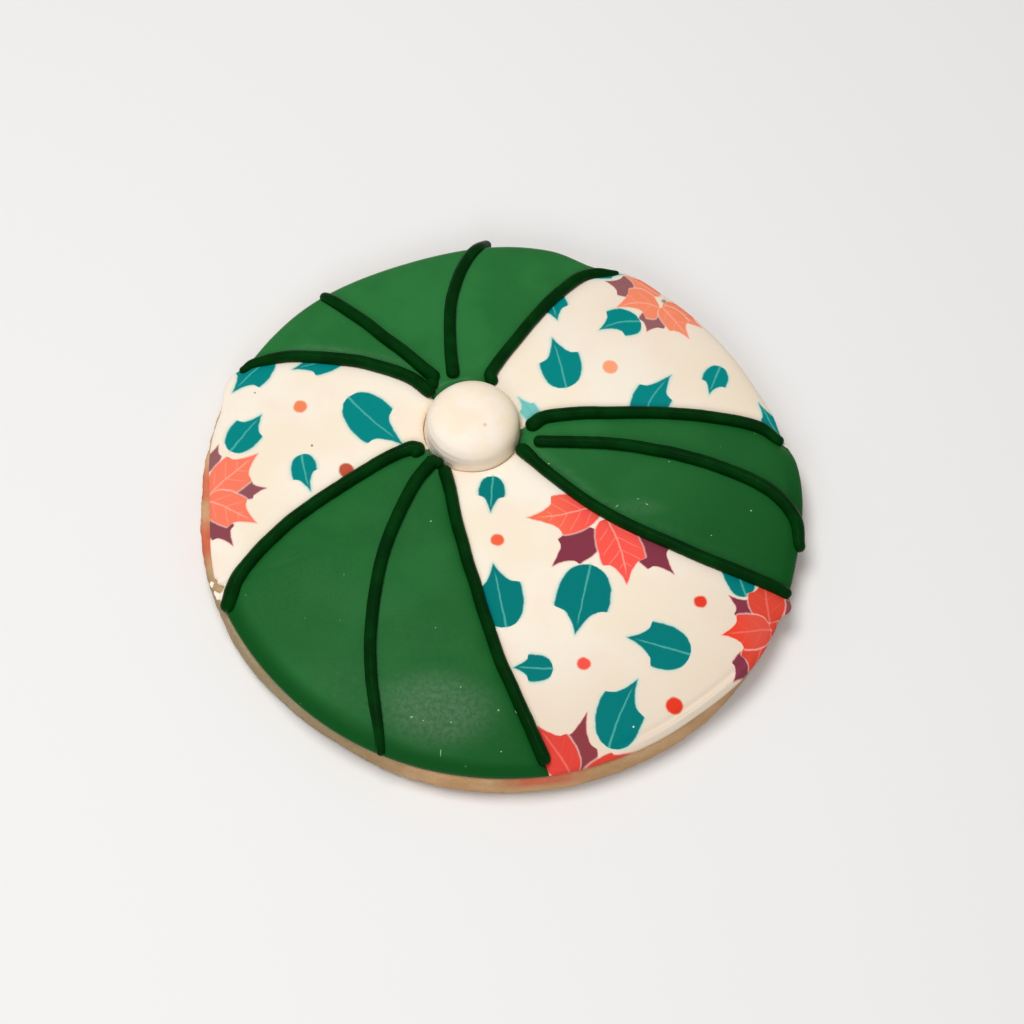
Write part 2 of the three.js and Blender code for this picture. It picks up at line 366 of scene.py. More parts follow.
def icing_height(points, sizes):
    """Height of the icing's surface over each point. It runs on down past the rim, for what hangs over it."""
    bearing = bearing_of(points)
    to_rim = icing_radius(bearing) - np.linalg.norm(points, axis=1)
    to_hub = np.linalg.norm(points - BUTTON_CENTRE, axis=1) - HUB_RADIUS
    to_seam = seam_distance(points) - sizes.seam_gap / MM / 2
    share = shoulder(to_rim, RIM_SLOPE) * shoulder(to_seam, SEAM_SLOPE) * shoulder(to_hub, HUB_SLOPE)
    height = COOKIE_THICKNESS + ICING_THICKNESS * np.maximum(share, EDGE_SHARE)
    crown = np.clip(1 - to_rim / CROWN_WIDTH, 0, 1) ** 2
    crown *= np.interp(points[:, 1], (0, CROWN_FAR_AT), (1, CROWN_FAR_SHARE))
    inner = np.clip(to_rim / 2, 0, 1) * np.clip(to_seam / 2, 0, 1)
    height += inner * sizes.undulation / MM * waves(points, UNDULATION_LENGTH, 5)
    height += rim_bead(to_rim, bearing) - CROWN_FALL * crown
    return height - OUTER_FALL * np.maximum(-to_rim, 0)


def on_icing(x, y, sizes, above=0.0):
    """A shift to a point of the icing's surface, or to this far above it."""
    height = icing_height(np.array([[x, y]], float), sizes)[0]
    return Matrix.Translation((x, y, height + above))


# ---------------- meshes


def add_object(name, data):
    """Adds an object to the scene."""
    thing = bpy.data.objects.new(name, data)
    bpy.context.scene.collection.objects.link(thing)
    return thing


def add_piece(mesh, material, node=None):
    """Adds a finished piece: it rides on the cookie and replaces its node."""
    piece = add_object(mesh.name, mesh)
    mesh.materials.append(material)
    for polygon in mesh.polygons:
        polygon.use_smooth = True
    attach(piece, BODY)
    if node:
        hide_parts(node)


def places(bm):
    """The vertices' places as an array, in the bmesh's order."""
    return np.array([vertex.co for vertex in bm.verts], float)


def put_back(bm, new_places):
    """Moves the vertices of a bmesh to an array of places."""
    for vertex, place in zip(bm.verts, new_places):
        vertex.co = place


def grid(columns, rows):
    """A grid, and how far each vertex lies along it and across it as shares."""
    bm = bmesh.new()
    bmesh.ops.create_grid(bm, x_segments=columns, y_segments=rows, size=0.5)
    along, across, _ = places(bm).T + 0.5
    return bm, along, across


def finish_mesh(bm, name):
    """Turns a bmesh in millimetres into a mesh in metres, closed and with its faces outwards."""
    bmesh.ops.remove_doubles(bm, verts=bm.verts, dist=1e-4)
    bmesh.ops.recalc_face_normals(bm, faces=bm.faces)
    bmesh.ops.scale(bm, vec=(MM, MM, MM), verts=bm.verts)
    mesh = bpy.data.meshes.new(name)
    bm.to_mesh(mesh)
    bm.free()
    return mesh


def turned(outline, steps):
    """An outline of (radius, height) turned round the upright axis."""
    bm = bmesh.new()
    verts = [bm.verts.new((x, 0, z)) for x, z in outline]
    edges = [bm.edges.new(pair) for pair in zip(verts, verts[1:])]
    bmesh.ops.spin(
        bm, geom=verts + edges, cent=(0, 0, 0), axis=(0, 0, 1), angle=2 * math.pi, steps=steps, use_merge=True
    )
    bmesh.ops.remove_doubles(bm, verts=bm.verts, dist=1e-4)
    return bm


def crowd_ends(share):
    """Closer rows near both ends of a 0 to 1 range, where a cushion's shoulders bend."""
    return 0.25 * share + 0.75 * (1 - np.cos(share * math.pi)) / 2


def arc_between(radius_at, centre, first, last):
    """A function of a 0 to 1 share that runs counter-clockwise from one bearing to another."""
    low = bearing_of(first - centre)
    turn = np.mod(bearing_of(last - centre) - low, 360)
    return lambda share: centre + polar(radius_at(low + turn * share), low + turn * share)


def cushion_plan(start_line, end_line, gap, along, around):
    """Places in plan of a cushion between two seams, the hub and the rim."""
    start_curve = SEAMS[start_line] + sideways(SEAMS[start_line]) * gap / 2
    end_curve = SEAMS[end_line] - sideways(SEAMS[end_line]) * gap / 2
    hub = arc_between(lambda bearing: HUB_RADIUS, BUTTON_CENTRE, start_curve[0], end_curve[0])
    rim = arc_between(icing_radius, np.zeros(2), start_curve[-1], end_curve[-1])
    u, v = along[:, None], around[:, None]
    zero, one = np.zeros(1), np.ones(1)
    start_side, end_side = (
        read_curve(curve, np.linspace(0, 1, len(curve)), along) for curve in (start_curve, end_curve)
    )
    ends = hub(around) * (1 - u) + rim(around) * u
    corners = (hub(zero) * (1 - v) + hub(one) * v) * (1 - u) + (rim(zero) * (1 - v) + rim(one) * v) * u
    return start_side * (1 - v) + end_side * v + ends - corners


def cushion_mesh(name, start_line, end_line, sizes):
    """One cushion of icing: a grid over its plan, raised to the icing's height, with its sides drawn down."""
    bm, along, around = grid(CUSHION_ROWS, CUSHION_ROWS)
    along, around = crowd_ends(along), crowd_ends(around)
    plan = cushion_plan(start_line, end_line, sizes.seam_gap / MM, along, around)
    put_back(bm, np.column_stack([plan, icing_height(plan, sizes)]))

    # The side: rings drawn down from the border, swollen at the rim, then closed underneath.
    rim_layer = bm.verts.layers.int.new("rim")
    for vertex, share in zip(bm.verts, along):
        vertex[rim_layer] = int(share > 1 - 1e-6)
    border = [edge for edge in bm.edges if edge.is_boundary]
    root = COOKIE_THICKNESS - ROOT_DEPTH
    for ring in range(1, CUSHION_RINGS + 1):
        drawn = bmesh.ops.extrude_edge_only(bm, edges=border)["geom"]
        border = [item for item in drawn if isinstance(item, bmesh.types.BMEdge)]
        left = 1 - 1 / (CUSHION_RINGS + 1 - ring)
        above, below = (2 * level / CUSHION_RINGS - 1 for level in (ring - 1, ring))
        swell = RIM_BULGE * (below**2 - above**2) if below > 0 else 0
        for vertex in (item for item in drawn if isinstance(item, bmesh.types.BMVert)):
            vertex.co.z = root + (vertex.co.z - root) * left
            if vertex[rim_layer]:
                vertex.co.xy *= 1 - swell / vertex.co.xy.length
    bmesh.ops.contextual_create(bm, geom=border)
    return finish_mesh(bm, name)


def line_profile(line, sizes, seed):
    """Centre places, side and up vectors and radii along one piped line, between its rounded ends."""
    radius = sizes.line_radius / MM
    route = smooth_path(line.route, 0.3)
    ends = np.array([route[0] - route[1], route[-1] - route[-2]])
    ends *= radius / np.linalg.norm(ends, axis=1)[:, None]
    route = evenly(np.vstack([route[0] + ends[0], route, route[-1] + ends[1]]), LINE_STEP)
    share = np.linspace(0, 1, len(route))
    distance = share * LINE_STEP * (len(route) - 1)
    wander = LINE_WANDER * waves(distance[:, None], 7, seed) * np.sin(math.pi * share)
    route = route + sideways(route) * wander[:, None]
    left = sideways(route)
    beside = [icing_height(route + left * offset, sizes) for offset in (-0.95, -0.6, 0.6, 0.95)]
    window = np.hanning(2 * LINE_SETTLING + 1)
    height = np.pad(np.mean(beside, axis=0), LINE_SETTLING, mode="edge")
    height = np.convolve(height, window / window.sum(), mode="valid")
    width = radius * np.interp(share, *zip(*line.widths))
    to_end = np.minimum(distance, distance[-1] - distance)
    rounding = np.sqrt(np.clip(1 - (1 - np.clip(to_end / width, 0, 1)) ** 2, 0, 1))
    radii = width * rounding * (1 + LINE_RIPPLE * waves(distance[:, None], 1.9, seed + 50))
    centres = np.column_stack([route, height + LINE_RISE * width])
    tangent = np.gradient(centres, axis=0)
    tangent /= np.linalg.norm(tangent, axis=1)[:, None]
    side = np.column_stack([left, np.zeros(len(left))])
    return centres, side, np.cross(tangent, side), radii


def line_mesh(name, line, sizes, seed):
    """One piped line: a grid wrapped round its route, with rounded ends."""
    centres, side, up, radii = line_profile(line, sizes, seed)
    bm, along, around = grid(len(centres) - 1, LINE_SIDES)
    row = np.rint(along * (len(centres) - 1)).astype(int)
    angle = 2 * math.pi * around[:, None]
    outward = side[row] * np.cos(angle) + LINE_FLATNESS * up[row] * np.sin(angle)
    put_back(bm, centres[row] + outward * radii[row][:, None])
    for x, y, radius in line.blobs:
        place = on_icing(x, y, sizes, LINE_RISE * radius)
        bmesh.ops.create_icosphere(bm, subdivisions=4, radius=radius, matrix=place)
    return finish_mesh(bm, name)


# The roughness of the biscuit's side: wavelength, seed, number of waves and height of each relief
CRUMB_WAVES = ((7, 21, 7, 1.5), (1.6, 22, 14, 0.8), (0.7, 23, 20, 0.5))


def quarter_oval(x, z, width, height, start):
    """Places along a quarter of an oval round (x, z), from a starting angle."""
    angles = np.linspace(start, start + math.pi / 2, 9)
    return [(x + width * math.cos(angle), z + height * math.sin(angle)) for angle in angles]


def biscuit_mesh(name, sizes):
    """The biscuit: a turned disc with rounded edges, its side roughened as baked dough is."""
    foot_height, foot_inset, crown_height, crown_inset = 1.0, 0.8, 1.0, 0.7
    foot_start, crown_start = COOKIE_RADIUS - foot_inset, COOKIE_RADIUS - crown_inset
    crown_foot = COOKIE_THICKNESS - crown_height
    outline = [
        (0, 0),
        *((x, 0) for x in np.linspace(4, foot_start - 0.4, 10)),
        *quarter_oval(foot_start, foot_height, foot_inset, foot_height, -math.pi / 2),
        *((COOKIE_RADIUS, z) for z in np.linspace(foot_height, crown_foot, 10)[1:-1]),
        *quarter_oval(crown_start, crown_foot, crown_inset, crown_height, 0),
        *((x, COOKIE_THICKNESS) for x in np.linspace(crown_start - 0.4, 4, 12)),
        (0, COOKIE_THICKNESS),
    ]
    bm = turned(outline, BISCUIT_STEPS)
    spots = places(bm)
    radius = np.linalg.norm(spots[:, :2], axis=1)
    ratio = cookie_radius(bearing_of(spots[:, :2])) / COOKIE_RADIUS
    spots[:, :2] *= ratio[:, None]
    edge = np.clip((radius - COOKIE_RADIUS + 3) / 2, 0, 1) * np.clip(spots[:, 2] / 0.8, 0, 1)
    rough = sum(height * waves(spots, *relief) for *relief, height in CRUMB_WAVES)
    pits = np.clip(waves(spots, 0.9, 24, 24) - 0.75, 0, 1) * 2.5
    inward = edge * sizes.crumb_depth / MM * (rough - pits - 1.0)
    spots[:, :2] *= (1 + inward / np.maximum(radius, 1))[:, None]
    put_back(bm, spots)
    return finish_mesh(bm, name)


# The button's piped turns: where they show most, how far apart they lie and how far they stand out
RIDGE_BEARING = 215
RIDGE_PITCH = 0.95
RIDGE_HEIGHT = 0.03


def button_mesh(name):
    """The button: a low dome with a flattened top and a foot that spreads onto the icing round it."""
    waist, skirt, power = 2.0, 0.2, 3.0
    rise = BUTTON_HEIGHT - waist
    outline = [(0, -0.05), (BUTTON_RADIUS + skirt, -0.05)]
    for share in np.linspace(0, 1, 14)[1:-1]:
        outline.append((BUTTON_RADIUS + skirt * math.cos(share * math.pi / 2), waist * share))
    for angle in np.linspace(0, math.pi / 2, 46):
        x = BUTTON_RADIUS * max(math.cos(angle), 0) ** (2 / power)
        outline.append((x if angle < 1.57 else 0, waist + rise * math.sin(angle) ** (2 / power)))
    bm = turned(outline, BUTTON_STEPS)
    spots = places(bm)
    share = np.clip(spots[:, 2] / BUTTON_HEIGHT, 0, 1)
    spots[:, :2] *= (1 + 0.012 * waves(spots * [1, 1, 2], 9, 31) * share)[:, None]
    spots[:, 2] += 0.09 * waves(spots, 6, 32) * share**2
    facing = np.clip(np.cos(np.radians(bearing_of(spots[:, :2]) - RIDGE_BEARING)), 0, 1)
    ridges = np.sin(2 * math.pi * spots[:, 2] / RIDGE_PITCH + 1) * np.sin(math.pi * share) * facing
    spots[:, :2] *= (1 + RIDGE_HEIGHT / BUTTON_RADIUS * ridges)[:, None]
    spots[:, 2] = np.minimum(spots[:, 2], BUTTON_HEIGHT)
    spots[:, :2] += BUTTON_CENTRE
    spots[:, 2] += COOKIE_THICKNESS
    put_back(bm, spots)
    return finish_mesh(bm, name)


# Grains that stand on the icing: place, radius, how many times longer than wide, and their turn in degrees.
# Some are sugar grains and scratches, some are painted glints: pale grains where light sparkles.
# All are lower than wide and uneven by a share of their radius.
GRAIN_FLATNESS = 0.6
GRAIN_UNEVENNESS = 0.25
SUGAR_GRAINS_AND_GLINTS = (
    (-9, -35.1, 0.13, 1.6, 30), (-7.4, -35.4, 0.1, 1.2, 0), (-3.6, -35.3, 0.11, 1.4, 60),
    (2.6, -32.9, 0.15, 1, 0), (3.5, -38.8, 0.11, 1, 0), (5, -32.6, 0.2, 1.7, 100),
    (-4.6, -39.6, 0.06, 12, 95), (6.4, 5.9, 0.12, 1.5, 20), (7.2, 4.9, 0.15, 1.3, 70),
    (2.7, 6.7, 0.14, 1, 0), (3.8, 6.6, 0.12, 1, 0), (22, 10.4, 0.1, 1.3, 0), (23.4, 8, 0.1, 1, 0),
    (16.5, 0.1, 0.07, 5, 50), (20.7, 0.8, 0.08, 3, 150), (19.4, 1.5, 0.08, 2, 20), (35.4, 1.4, 0.14, 1.2, 0),
    (30, -3.2, 0.08, 1.5, 40), (-20.4, -14.8, 0.08, 1, 0), (-9.3, -5.2, 0.11, 1.4, 20),
    (-2.8, -30, 0.1, 1, 0), (-7.1, -21.5, 0.08, 1, 0),
)
ICING_CRUMBS = (
    (-38.4, -16.9, 0.42, 1.5, 65), (-37.5, -18.9, 0.4, 1.7, 120), (-35.7, -11, 0.14, 1.4, 30),
    (21, -33.3, 0.13, 1, 0), (13.9, 25.4, 0.05, 8, -40),
)


def grains_mesh(name, grains, sizes):
    """Small uneven lumps, half sunk in the icing."""
    bm = bmesh.new()
    unevenness = []
    for x, y, radius, length_share, turn in grains:
        shape = Matrix.Diagonal((length_share, 1, GRAIN_FLATNESS, 1))
        place = on_icing(x, y, sizes) @ Matrix.Rotation(math.radians(turn), 4, "Z") @ shape
        bmesh.ops.create_icosphere(bm, subdivisions=3, radius=radius, matrix=place)
        unevenness += [GRAIN_UNEVENNESS * radius] * (len(bm.verts) - len(unevenness))
    spots = places(bm)
    shift = np.stack([waves(spots, 0.7, seed) for seed in (61, 62, 63)], 1)
    put_back(bm, spots + np.array(unevenness)[:, None] * shift)
    return finish_mesh(bm, name)


# ---------------- materials


class Wire:
    """A value inside a shader. Arithmetic on it adds a node that works out the result."""

    def __init__(self, socket):
        self.socket = socket

    def __add__(self, other):
        return maths("ADD", self, other)

    def __sub__(self, other):
        return maths("SUBTRACT", self, other)

    def __rsub__(self, other):
        return maths("SUBTRACT", other, self)

    def __mul__(self, other):
        return maths("MULTIPLY", self, other)

    def __truediv__(self, other):
        return maths("DIVIDE", self, other)


def feed(socket, value):
    """Joins a socket to a wire, or sets its value."""
    if isinstance(value, Wire):
        socket.id_data.links.new(value.socket, socket)
    elif socket.type == "RGBA":
        socket.default_value = (*value[:3], 1)
    else:
        socket.default_value = value


def add_node(tree, kind, inputs=None, **settings):
    """Adds a node to a tree, with its settings and inputs."""
    node = tree.nodes.new(kind)
    for key, value in settings.items():
        setattr(node, key, value)
    for key, value in (inputs or {}).items():
        feed(node.inputs[key], value)
    return node


def work_out(kind, inputs, **settings):
    """Adds a node to the tree that its wires come from. Gives its outputs."""
    wire = next(value for value in inputs.values() if isinstance(value, Wire))
    return [Wire(output) for output in add_node(wire.socket.id_data, kind, inputs, **settings).outputs]


def maths(operation, *values):
    """A sum with numbers."""
    return work_out("ShaderNodeMath", dict(enumerate(values)), operation=operation)[0]


def vector(operation, *values):
    """A sum with places, which gives a place or, for some sums, a number."""
    outputs = work_out("ShaderNodeVectorMath", dict(enumerate(values)), operation=operation)
    return outputs[1 if operation in ("LENGTH", "DISTANCE", "DOT_PRODUCT") else 0]


def fade(value, low, high, to_low=0.0, to_high=1.0, shape="SMOOTHSTEP"):
    """From one value to another as the input goes from low to high, held at both ends."""
    inputs = {0: value, 1: low, 2: high, 3: to_low, 4: to_high}
    return work_out("ShaderNodeMapRange", inputs, interpolation_type=shape)[0]


def paint(share, under, over, blend_type="MIX"):
    """One colour over another."""
    inputs = {0: share, 6: under, 7: over}
    return work_out("ShaderNodeMix", inputs, data_type="RGBA", blend_type=blend_type)[2]


def noises(place, scale, detail, roughness=0.5):
    """Noise whose features measure about 1 / scale millimetres, as a number and as a colour."""
    inputs = {"Vector": place, "Scale": scale, "Detail": detail, "Roughness": roughness}
    return work_out("ShaderNodeTexNoise", inputs)


def clouds(place, scale, detail, low, high, to_low=0.0, to_high=1.0, roughness=0.5):
    """Noise, faded between two of its values."""
    return fade(noises(place, scale, detail, roughness)[0], low, high, to_low, to_high)


def shifted(place, by, scale, detail, roughness=0.5, start=None):
    """The start, or else the place itself, moved sideways up to this far by noise at the place."""
    way = vector("SUBTRACT", noises(place, scale, detail, roughness)[1], (0.5, 0.5, 0.5))
    return vector("MULTIPLY_ADD", way, (by, by, 0), start or place)


def sides(place):
    """The x, y and z of a place."""
    return work_out("ShaderNodeSeparateXYZ", {0: place})


def on_plan(place):
    """The place seen from above."""
    return vector("MULTIPLY", place, (1, 1, 0))


def linear(display_colour):
    """Display values turned into the linear ones that shaders take."""
    return tuple(Color(display_colour[:3]).from_srgb_to_scene_linear())


def ink(red, green, blue):
    """A shader's colour from 0 to 255."""
    return linear(srgb(red, green, blue))


def scaled(colour, *shares):
    """A colour times one share, or times one share for each channel."""
    return tuple(np.multiply(colour, shares))


class Finish:
    """A material with one surface shader. Its place is where the surface lies, in millimetres."""

    def __init__(self, name, roughness, specular):
        self.material = bpy.data.materials.new(name)
        self.material.use_nodes = True
        tree = self.material.node_tree
        tree.nodes.clear()
        gloss = {"Roughness": roughness, "Specular IOR Level": specular}
        self.shader = add_node(tree, "ShaderNodeBsdfPrincipled", gloss)
        add_node(tree, "ShaderNodeOutputMaterial", {"Surface": Wire(self.shader.outputs[0])})
        coordinates = Wire(add_node(tree, "ShaderNodeTexCoord").outputs["Object"])
        self.place = vector("MULTIPLY", coordinates, (1 / MM,) * 3)

    def colour(self, value):
        feed(self.shader.inputs["Base Color"], value)

    def roughness(self, value):
        feed(self.shader.inputs["Roughness"], value)

    def relief(self, height):
        """Fine relief from a height in millimetres."""
        bump = work_out("ShaderNodeBump", {"Height": height, "Strength": 1.0, "Distance": MM})
        feed(self.shader.inputs["Normal"], bump[0])

    def grain(self, depth, scale, detail, roughness=0.5):
        """Relief this deep from noise."""
        self.relief(noises(self.place, scale, detail, roughness)[0] * depth)


# A leaf's outline: share of the length, share of the half width. Its side veins: their pitch and their slant.
LEAF_OUTLINE = (
    (0, 0), (0.02, 0.3), (0.06, 0.52), (0.14, 0.74), (0.24, 0.88), (0.36, 0.97), (0.5, 1), (0.6, 0.99),
    (0.635, 0.96), (0.66, 0.64), (0.7, 0.49), (0.78, 0.31), (0.88, 0.15), (1, 0),
)
SHOULDER_AT = 0.635
VEIN_PITCH = 2.1
VEIN_SLANT = 0.9


def shader_group(name, **sockets):
    """A shader group with one colour output and these inputs, listed by their kinds."""
    tree = bpy.data.node_groups.new(name, "ShaderNodeTree")
    for kind, names in sockets.items():
        for socket_name in names:
            tree.interface.new_socket(socket_name, in_out="INPUT", socket_type="NodeSocket" + kind)
    tree.interface.new_socket("Colour", in_out="OUTPUT", socket_type="NodeSocketColor")
    given = {output.name: Wire(output) for output in add_node(tree, "NodeGroupInput").outputs}
    return tree, given, add_node(tree, "NodeGroupOutput").inputs[0]


def leaf_group():
    """Prints one leaf or petal over a colour: two shoulders, a drawn-out tip, ribs, veins and an edge."""
    tree, given, result = shader_group(
        "printed leaf",
        Color=("Under", "Base colour", "Tip colour", "Rib colour", "Edge colour"),
        Vector=("Place", "Base", "Tip"),
        Float=(
            "Half width", "Bend", "Left shoulder", "Right shoulder", "Edge width", "Edge strength", "Veins",
        ),
    )
    axis = vector("SUBTRACT", given["Tip"], given["Base"])
    size = vector("LENGTH", axis)
    ahead = vector("NORMALIZE", axis)
    left = vector("CROSS_PRODUCT", (0, 0, 1), ahead)
    away = vector("SUBTRACT", given["Place"], given["Base"])
    along = vector("DOT_PRODUCT", away, ahead)
    share = along / size
    across = vector("DOT_PRODUCT", away, left) - share * (1.0 - share) * 4.0 * given["Bend"]
    off = maths("ABSOLUTE", across)
    is_left = maths("GREATER_THAN", across, 0.0)
    shoulder_at = is_left * given["Left shoulder"] + (1.0 - is_left) * given["Right shoulder"]
    body = fade(share, 0.0, shoulder_at, 0.0, SHOULDER_AT, "LINEAR")
    tail = fade(share, shoulder_at, 1.0, 0.0, 1 - SHOULDER_AT, "LINEAR")
    outline = add_node(tree, "ShaderNodeFloatCurve", {"Value": body + tail})
    curve = outline.mapping.curves[0]
    while len(curve.points) < len(LEAF_OUTLINE):
        curve.points.new(0.5, 0.5)
    for point, (x, y) in zip(curve.points, LEAF_OUTLINE):
        point.location = (x, y)
        point.handle_type = "VECTOR" if 0.6 <= x <= 0.66 else "AUTO"
    outline.mapping.update()
    past = maths("MAXIMUM", maths("ABSOLUTE", share - 0.5) - 0.5, 0.0)
    depth = Wire(outline.outputs[0]) * given["Half width"] - off - past * size

    edge = fade(depth, given["Edge width"] * -1.0, -0.02) * given["Edge strength"]
    under = paint(edge, given["Under"], given["Edge colour"])
    fill = paint(fade(share, 0.2, 0.9), given["Base colour"], given["Tip colour"])
    rib_width = maths("MULTIPLY_ADD", share, -0.12, 0.24)
    rib = fade(off, rib_width, rib_width * 0.3) * fade(share, 0.9, 0.74)
    to_vein = maths("ABSOLUTE", maths("FRACT", (along - off * VEIN_SLANT) / VEIN_PITCH) - 0.5)
    vein = fade(to_vein, 0.075, 0.0) * fade(depth, 0.15, 0.9) * given["Veins"] * fade(share, 0.12, 0.2)
    fill = paint(maths("MAXIMUM", rib * 0.62, vein), fill, given["Rib colour"])
    feed(result, paint(fade(depth, -0.15, 0.13), under, fill))
    return tree


def dot_group():
    """Prints one round dot over a colour."""
    tree, given, result = shader_group(
        "printed dot", Color=("Under", "Fill"), Vector=("Place", "Centre"), Float=("Radius", "Softness")
    )
    inside = given["Radius"] - vector("DISTANCE", given["Place"], given["Centre"])
    share = fade(inside, given["Softness"] * -1.0, given["Softness"])
    feed(result, paint(share, given["Under"], given["Fill"]))
    return tree


LEAF_RIB = srgb(96, 190, 176)
PETAL_RIB = srgb(255, 178, 156)
DIM_RIB = srgb(240, 124, 110)
CORAL = srgb(250, 126, 98)
# Coral painted paler on the upper right flower: painted light where more light falls
LIT_CORAL = srgb(248, 140, 104)
ORANGE = srgb(250, 116, 84)
SCARLET = srgb(254, 90, 80)
RED = srgb(222, 72, 54)
MAROON = srgb(134, 56, 72)
# A paler maroon; on the upper right flower it is maroon painted paler, as painted light
PALE_MAROON = srgb(150, 96, 98)

# A printed edge: its colour, width and strength
LEAF_EDGE = (srgb(178, 224, 216), 0.65, 0.6)
PETAL_EDGE = (srgb(252, 206, 194), 0.34, 0.75)

# Where the left and the right shoulder stand, as shares of the length
EVEN = (0.62, 0.62)


def petal(
    base, tip, half_width, fill,
    tip_fill=None, bend=0, shoulders=EVEN, veins=0.42, rib=PETAL_RIB, edge=PETAL_EDGE,
):
    """A printed petal, from its base to its tip."""
    return {
        "Base": (*base, 0), "Tip": (*tip, 0), "Half width": half_width, "Bend": bend,
        "Left shoulder": shoulders[0], "Right shoulder": shoulders[1],
        "Base colour": fill, "Tip colour": tip_fill or fill, "Rib colour": rib,
        "Edge colour": edge[0], "Edge width": edge[1], "Edge strength": edge[2], "Veins": veins,
    }


def leaf(base, tip, half_width, bend=0, shoulders=EVEN, fill=None):
    """A printed leaf, teal unless it has a colour of its own."""
    return petal(base, tip, half_width, fill, None, bend, shoulders, 0, LEAF_RIB, LEAF_EDGE)


def maroon_petal(base, tip, half_width, fill=MAROON, bend=0, shoulders=EVEN):
    """A dark petal behind the others, with neither ribs nor veins."""
    return petal(base, tip, half_width, fill, None, bend, shoulders, 0, fill)


def rim_petal(base, tip, half_width, fill=RED, tip_fill=None, veins=0.1):
    """A petal at the rim, with faint ribs."""
    return petal(base, tip, half_width, fill, tip_fill, veins=veins, rib=DIM_RIB)


def dot(centre, radius, fill, softness=0.2):
    """A printed dot."""
    return {"Centre": (*centre, 0), "Radius": radius, "Fill": fill, "Softness": softness}


